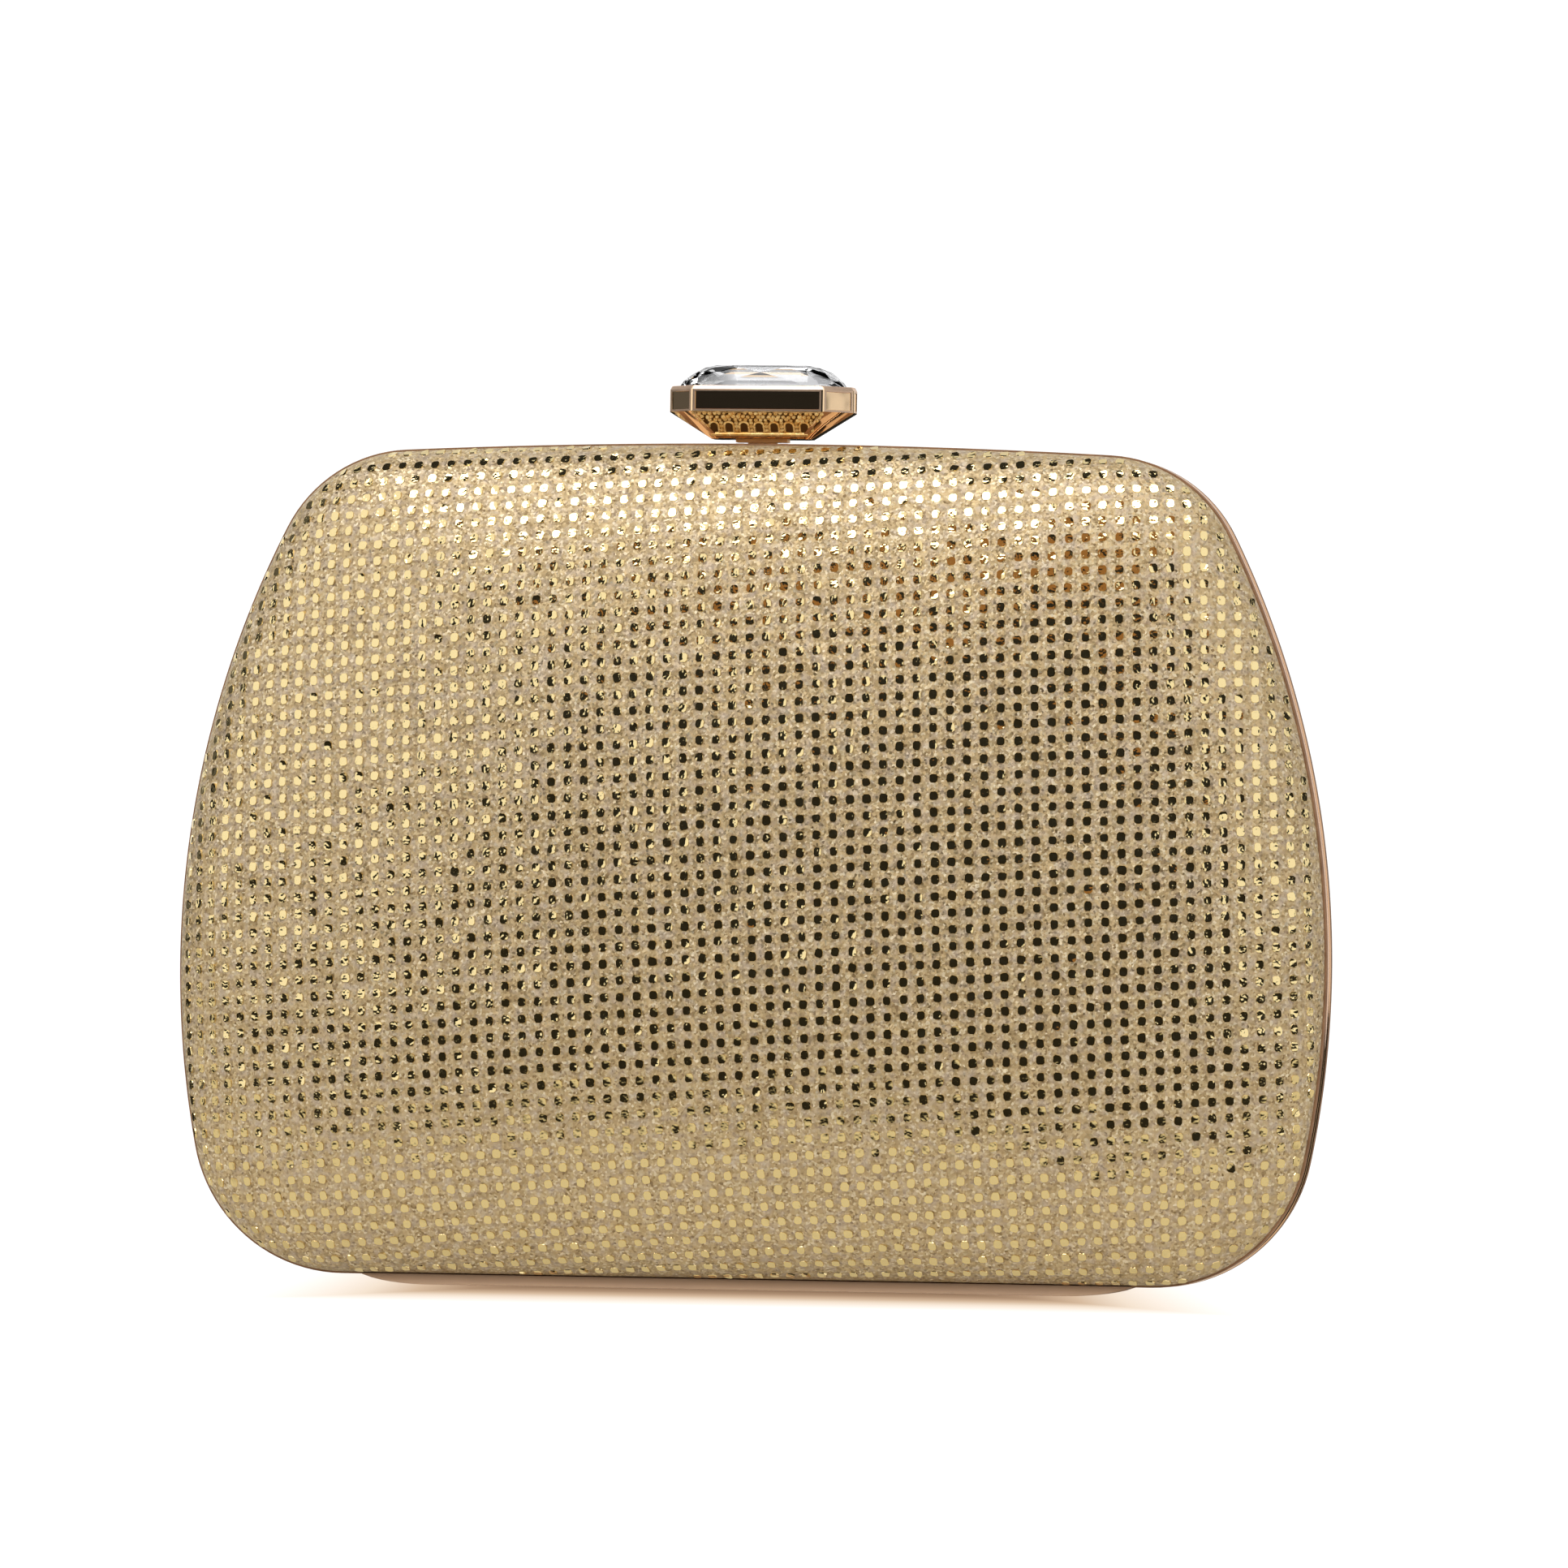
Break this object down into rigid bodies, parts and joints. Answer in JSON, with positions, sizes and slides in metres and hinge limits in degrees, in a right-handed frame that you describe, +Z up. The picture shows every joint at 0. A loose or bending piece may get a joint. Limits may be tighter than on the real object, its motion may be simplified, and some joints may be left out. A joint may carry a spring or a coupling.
{
  "type": "evening bag",
  "caption": "Hard-shell evening bag with domed fabric-covered halves in a metal frame, hinged at the base and closed by a crystal knob on a rocking lever.",
  "frame": {"origin": "middle of the base, on the surface that the bag stands on", "axes": "+X across the bag's width, -Y out of its front, +Z up"},
  "size_m": [0.1906, 0.0468, 0.1516],
  "materials": {
    "glitter_fabric": "beige glitter cloth",
    "foil_gold": "mirror gold foil dots",
    "gold_plate": "polished pale gold plating",
    "filigree_gold": "pierced gold plating",
    "hinge_brass": "brushed brass",
    "steel": "nickel-plated steel",
    "crystal_glass": "clear cut crystal",
    "satin_lining": "champagne satin",
    "shell_plastic": "moulded off-white"
  },
  "bodies": {
    "rear_half": {"rear_shell": "shell_plastic", "rear_cover": "glitter_fabric", "rear_frame": "gold_plate", "frame_lip": "gold_plate", "rear_lining": "satin_lining", "slip_pocket": "satin_lining", "rear_hinge_leaf": "hinge_brass", "rear_hinge_rivets": "hinge_brass", "hinge_pin": "steel", "clasp_plate": "gold_plate", "clasp_bracket": "steel", "bracket_rivets": "hinge_brass", "clasp_pivot_pin": "steel", "clasp_spring": "steel"},
    "knob": {"clasp_lever": "gold_plate", "knob_screws": "steel", "bezel": "gold_plate", "bezel_filigree": "filigree_gold", "crystal": "crystal_glass"},
    "front_half": {"front_shell": "shell_plastic", "front_cover": "glitter_fabric", "front_frame": "gold_plate", "front_lining": "satin_lining", "front_hinge_leaf": "hinge_brass", "front_hinge_rivets": "hinge_brass", "catch_keeper": "steel", "catch_rivets": "hinge_brass"}
  },
  "joints": [
    {"name": "lid_hinge", "type": "hinge", "parent": "rear_half", "child": "front_half", "pos_m": [0, 0, 0.0012], "axis": [1, 0, 0], "range_deg": [0, 75]},
    {"name": "knob_tilt", "type": "hinge", "parent": "rear_half", "child": "knob", "pos_m": [0, 0.0015, 0.1332], "axis": [-1, 0, 0], "range_deg": [0, 7], "stiffness_Nm_per_rad": 0.08, "springref_deg": -14.32, "deforming": ["clasp_spring"]}
  ]
}
